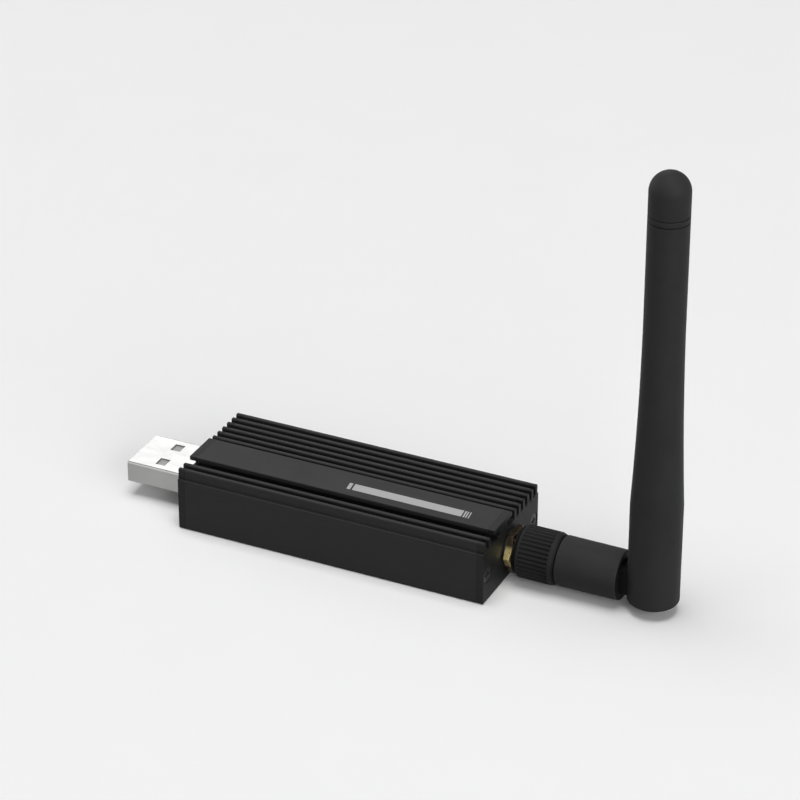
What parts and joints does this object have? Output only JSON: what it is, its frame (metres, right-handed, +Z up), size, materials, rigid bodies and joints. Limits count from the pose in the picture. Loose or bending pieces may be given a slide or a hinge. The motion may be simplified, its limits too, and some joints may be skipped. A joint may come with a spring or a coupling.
{
  "type": "smart home usb radio stick",
  "caption": "Finned aluminium radio stick with a type A plug and a screw-on antenna that swivels and tilts.",
  "frame": {"origin": "middle of the housing's flat underside", "axes": "+X from the plug to the antenna, +Y away from the side with the raised strip, +Z up, away from the underside"},
  "size_m": [0.1147, 0.0258, 0.0908],
  "materials": {
    "black_aluminium": "matte black anodised",
    "black_steel": "satin black oxide",
    "board": "satin green solder mask",
    "chip_plastic": "matte",
    "steel": "satin nickel plated",
    "lamp": "gloss",
    "chip_ceramic": "matte",
    "resistor_ceramic": "matte",
    "button_plastic": "matte",
    "plug_plastic": "satin",
    "gold": "polished gold plated",
    "brass": "polished gold plated",
    "spring_bronze": "satin",
    "white_insulator": "matte",
    "antenna_plastic": "matte",
    "cable_jacket": "gloss",
    "copper": "satin"
  },
  "bodies": {
    "stick": {"finned_housing": "black_aluminium", "usb_end_plate": "black_aluminium", "antenna_end_plate": "black_aluminium", "end_plate_screws": "black_steel", "circuit_board": "board", "radio_chip": "chip_plastic", "usb_bridge_chip": "chip_plastic", "voltage_regulator": "chip_plastic", "main_crystal": "steel", "clock_crystal": "steel", "status_lamps": "lamp", "capacitors": "chip_ceramic", "resistors": "resistor_ceramic", "switch_frames": "steel", "usb_plug_shell": "steel", "usb_plug_insulator": "plug_plastic", "usb_contacts": "gold", "jack_body": "brass", "jack_insulator": "white_insulator", "jack_contact": "gold", "jack_lock_washer": "brass", "jack_hex_nut": "brass"},
    "boot_button": {"boot_button": "button_plastic"},
    "reset_button": {"reset_button": "button_plastic"},
    "connector": {"connector_ferrule": "brass", "connector_insulator": "white_insulator", "connector_pin": "gold", "nut_retaining_ring": "spring_bronze"},
    "coupling_nut": {"coupling_nut": "brass", "coupling_nut_jacket": "antenna_plastic"},
    "elbow": {"antenna_barrel": "antenna_plastic"},
    "whip": {"whip_sleeve": "antenna_plastic", "tip_cap": "antenna_plastic", "dipole_sleeve": "brass", "dipole_wire": "copper", "antenna_cable": "cable_jacket"}
  },
  "joints": [
    {"name": "connector_draw", "type": "slide", "parent": "stick", "child": "connector", "axis": [1, 0, 0], "range_m": [0, 0.00529]},
    {"name": "nut_turn", "type": "hinge", "parent": "connector", "child": "coupling_nut", "pos_m": [0.0386, 0, 0.0057], "axis": [1, 0, 0], "range_deg": [0, 2700]},
    {"name": "elbow_swivel", "type": "hinge", "parent": "connector", "child": "elbow", "pos_m": [0.0455, 0, 0.0057], "axis": [1, 0, 0], "range_deg": [-180, 180]},
    {"name": "whip_tilt", "type": "hinge", "parent": "elbow", "child": "whip", "pos_m": [0.06188, 0, 0.0057], "axis": [0, 1, 0], "range_deg": [0, 90], "deforming": ["antenna_cable"]},
    {"name": "boot_press", "type": "slide", "parent": "stick", "child": "boot_button", "axis": [0, 0, -1], "range_m": [0, 0.00025], "stiffness_N_per_m": 2000},
    {"name": "reset_press", "type": "slide", "parent": "stick", "child": "reset_button", "axis": [0, 0, -1], "range_m": [0, 0.00025], "stiffness_N_per_m": 2000}
  ],
  "couplings": [
    {"joint": "nut_turn", "follows": "connector_draw", "rad_per_m": 8904.7}
  ]
}
